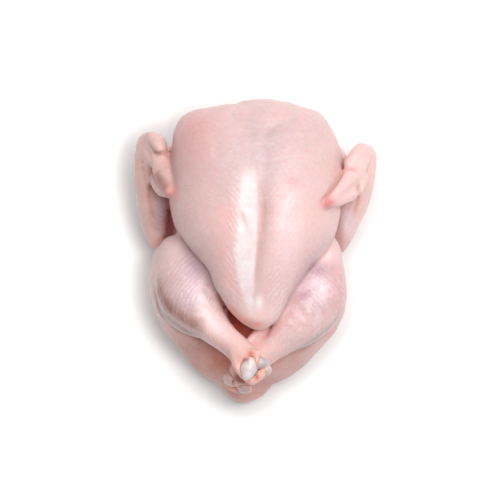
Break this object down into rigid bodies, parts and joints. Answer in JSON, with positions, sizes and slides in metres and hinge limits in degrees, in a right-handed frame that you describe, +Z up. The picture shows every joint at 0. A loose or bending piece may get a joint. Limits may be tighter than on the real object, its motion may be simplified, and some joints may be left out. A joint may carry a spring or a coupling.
{
  "type": "whole raw chicken",
  "caption": "Whole plucked raw chicken lying on its back, breast up, wings folded at its sides and drumsticks crossed over the tail, open at the vent.",
  "frame": {"origin": "on the flat spot of the back that the bird rests on, under its middle", "axes": "+Y from the tail towards the neck end, +Z up out of the breast, +X to the right of a viewer who looks down with the neck end away"},
  "size_m": [0.2049, 0.2576, 0.1167],
  "materials": {
    "skin": "moist pale pink poultry skin with fine pores",
    "cartilage": "wet white cartilage"
  },
  "bodies": {
    "root": {"chicken": "skin", "left_shank_bone": "cartilage", "right_shank_bone": "cartilage"}
  },
  "joints": []
}
